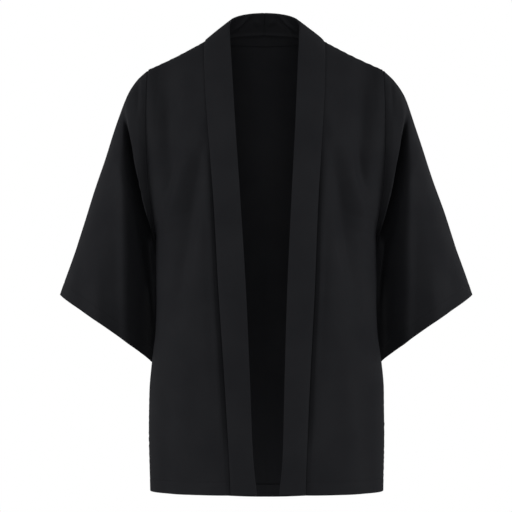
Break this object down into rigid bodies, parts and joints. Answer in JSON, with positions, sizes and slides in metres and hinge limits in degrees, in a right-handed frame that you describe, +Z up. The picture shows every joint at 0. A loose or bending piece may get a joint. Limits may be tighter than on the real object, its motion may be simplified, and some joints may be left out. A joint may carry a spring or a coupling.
{
  "type": "kimono shirt",
  "caption": "Open-front kimono shirt with a collar band round the neck and down both front edges, dropped shoulders and wide elbow-length sleeves, hanging hollow as worn.",
  "frame": {"origin": "middle of the neck opening, level with the points where the collar band crosses the shoulder seams, which is where the wearer's shoulders and neck hold the garment", "axes": "+Z up, from the hem to the neck; +Y to the garment's back; +X to the right of someone who faces its front"},
  "size_m": [0.6607, 0.2484, 0.7866],
  "materials": {
    "body_cloth": "matt black woven cloth",
    "band_cloth": "the same cloth, doubled"
  },
  "bodies": {
    "root": {"back": "body_cloth", "front_left": "body_cloth", "front_right": "body_cloth", "sleeve_left": "body_cloth", "sleeve_right": "body_cloth", "collar_left": "band_cloth", "collar_right": "band_cloth"}
  },
  "joints": []
}
